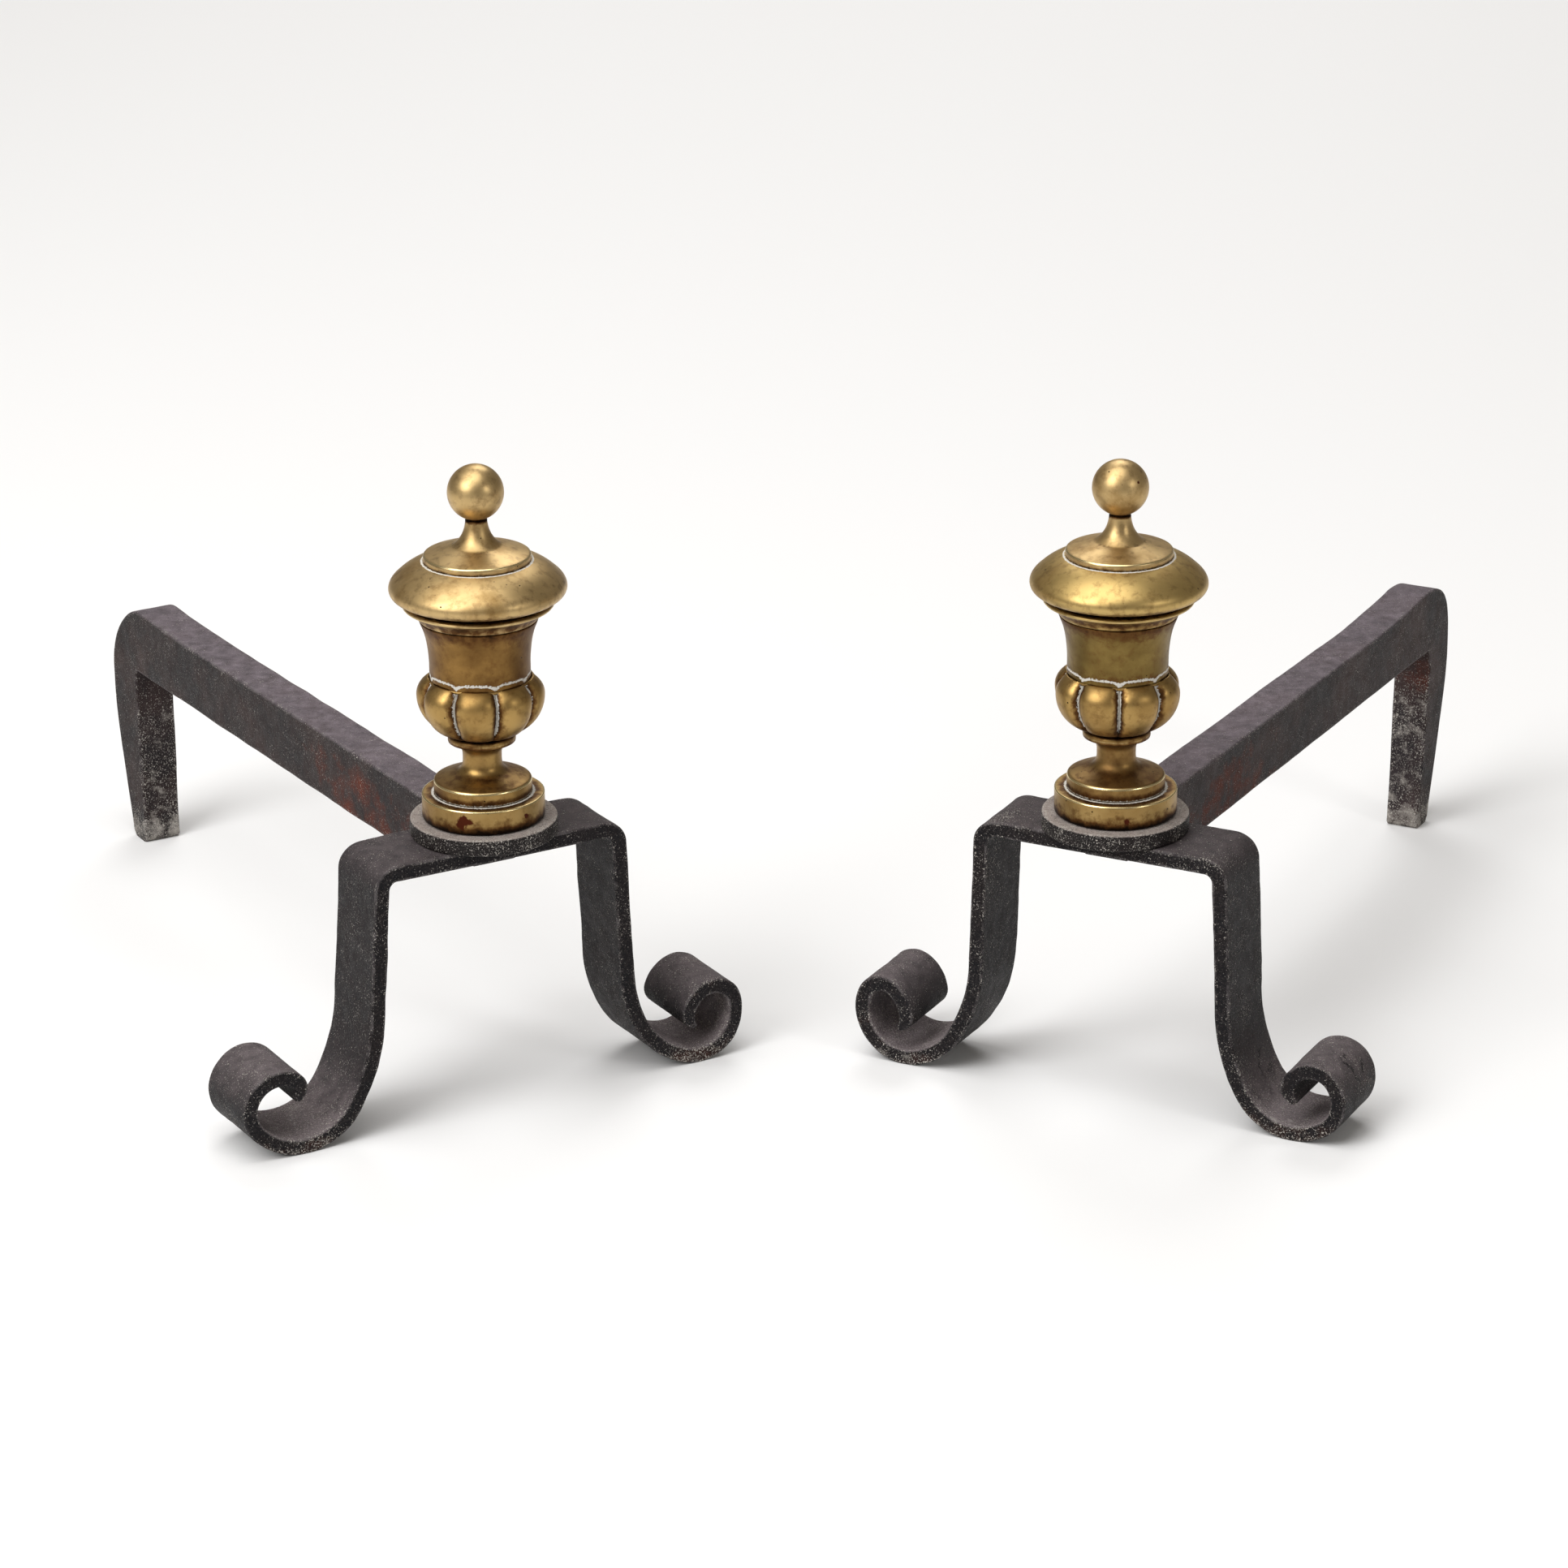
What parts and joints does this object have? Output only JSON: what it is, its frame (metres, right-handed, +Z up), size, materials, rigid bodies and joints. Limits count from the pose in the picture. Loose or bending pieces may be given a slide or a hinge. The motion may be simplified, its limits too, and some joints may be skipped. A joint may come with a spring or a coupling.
{
  "type": "andiron pair",
  "caption": "Pair of forged iron andirons with scroll feet, a billet bar with a bent rear leg, and a turned brass urn with a lobed bowl and ball finial.",
  "frame": {"origin": "on the floor under the middle of the pair's bounding box", "axes": "+Z up, +X along the hearth towards the right andiron, +Y back into the fireplace along the bars"},
  "size_m": [0.7754, 0.5006, 0.3431],
  "materials": {
    "strap_iron": "hand-forged, near black, worn edges and ash flecks",
    "bar_iron": "forged, dusty top, rust red patches",
    "rod_iron": "plain drawn rod",
    "disc_iron": "ash-grey top, dark speckled rim",
    "plinth_brass": "aged satin, tarnished at the foot",
    "pedestal_brass": "aged satin, brown tarnish",
    "bowl_brass": "aged satin, pale polish residue in the grooves",
    "bell_brass": "aged satin, brown tarnish",
    "rim_brass": "aged, softly polished",
    "lid_brass": "aged satin with fine turning marks",
    "ball_brass": "aged, softly polished"
  },
  "bodies": {
    "left_andiron": {"left_leg_strap": "strap_iron", "left_billet_bar": "bar_iron", "left_tie_rod": "rod_iron", "left_collar_disc": "disc_iron", "left_base_ring": "plinth_brass", "left_pedestal": "pedestal_brass", "left_lobed_bowl": "bowl_brass", "left_bell": "bell_brass", "left_rim_bulb": "rim_brass", "left_lid": "lid_brass", "left_ball_finial": "ball_brass"},
    "right_andiron": {"right_leg_strap": "strap_iron", "right_billet_bar": "bar_iron", "right_tie_rod": "rod_iron", "right_collar_disc": "disc_iron", "right_base_ring": "plinth_brass", "right_pedestal": "pedestal_brass", "right_lobed_bowl": "bowl_brass", "right_bell": "bell_brass", "right_rim_bulb": "rim_brass", "right_lid": "lid_brass", "right_ball_finial": "ball_brass"}
  },
  "joints": [
    {"name": "pair_spacing", "type": "slide", "parent": "left_andiron", "child": "right_andiron", "axis": [1, 0, 0], "range_m": [-0.055, 0.25]}
  ]
}
